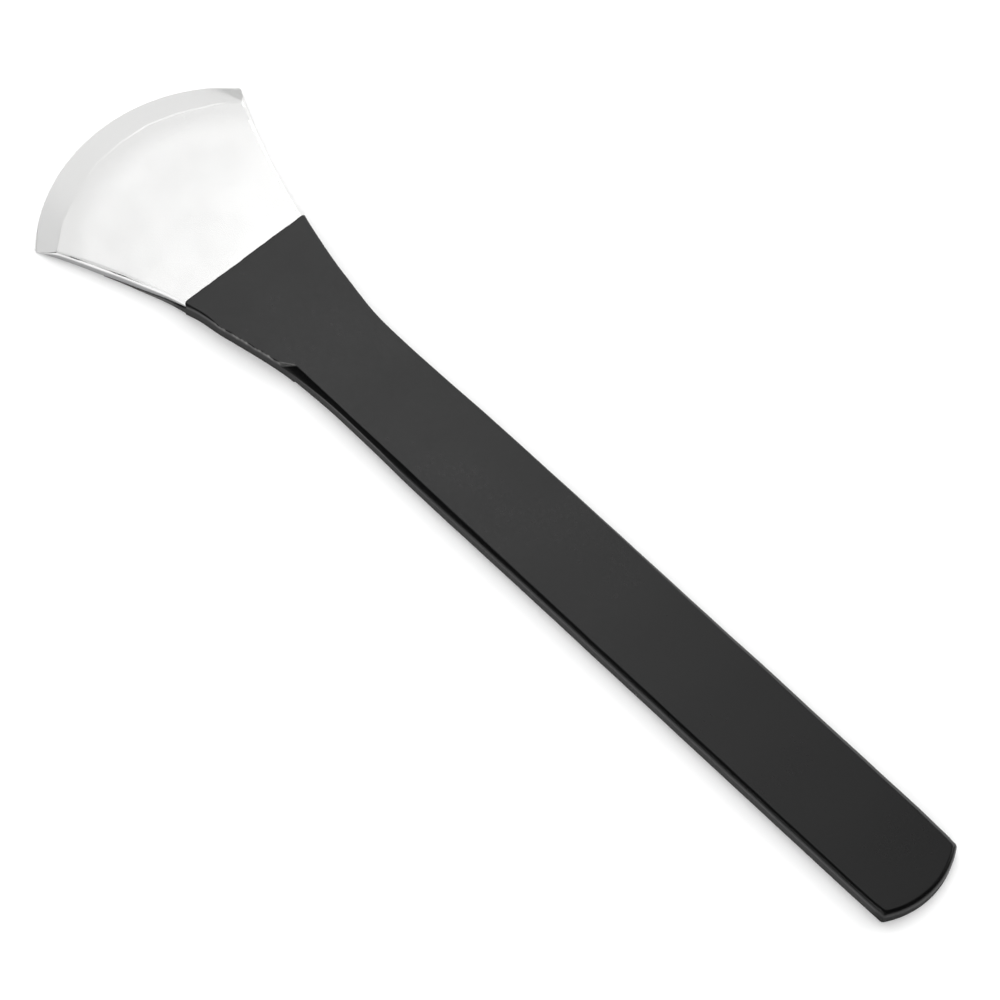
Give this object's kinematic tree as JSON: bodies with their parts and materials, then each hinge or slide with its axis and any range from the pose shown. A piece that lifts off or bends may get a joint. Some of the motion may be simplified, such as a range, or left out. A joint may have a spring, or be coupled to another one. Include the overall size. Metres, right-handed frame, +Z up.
{
  "type": "round-head paring knife",
  "caption": "Flat forged hand knife with a fan-shaped bright head, a single-bevel round edge and a black coated bar handle.",
  "frame": {"origin": "middle of the overall length, on the surface that the knife lies on", "axes": "+X along the knife from the tail towards the cutting edge, +Z up through the thickness, bevelled side up"},
  "size_m": [0.2, 0.049, 0.0034],
  "materials": {
    "bright_steel": "finely ground and polished faces",
    "black_coating": "semi-matt black enamel"
  },
  "bodies": {
    "root": {"steel_blade_and_tang": "bright_steel", "handle_coating": "black_coating"}
  },
  "joints": []
}
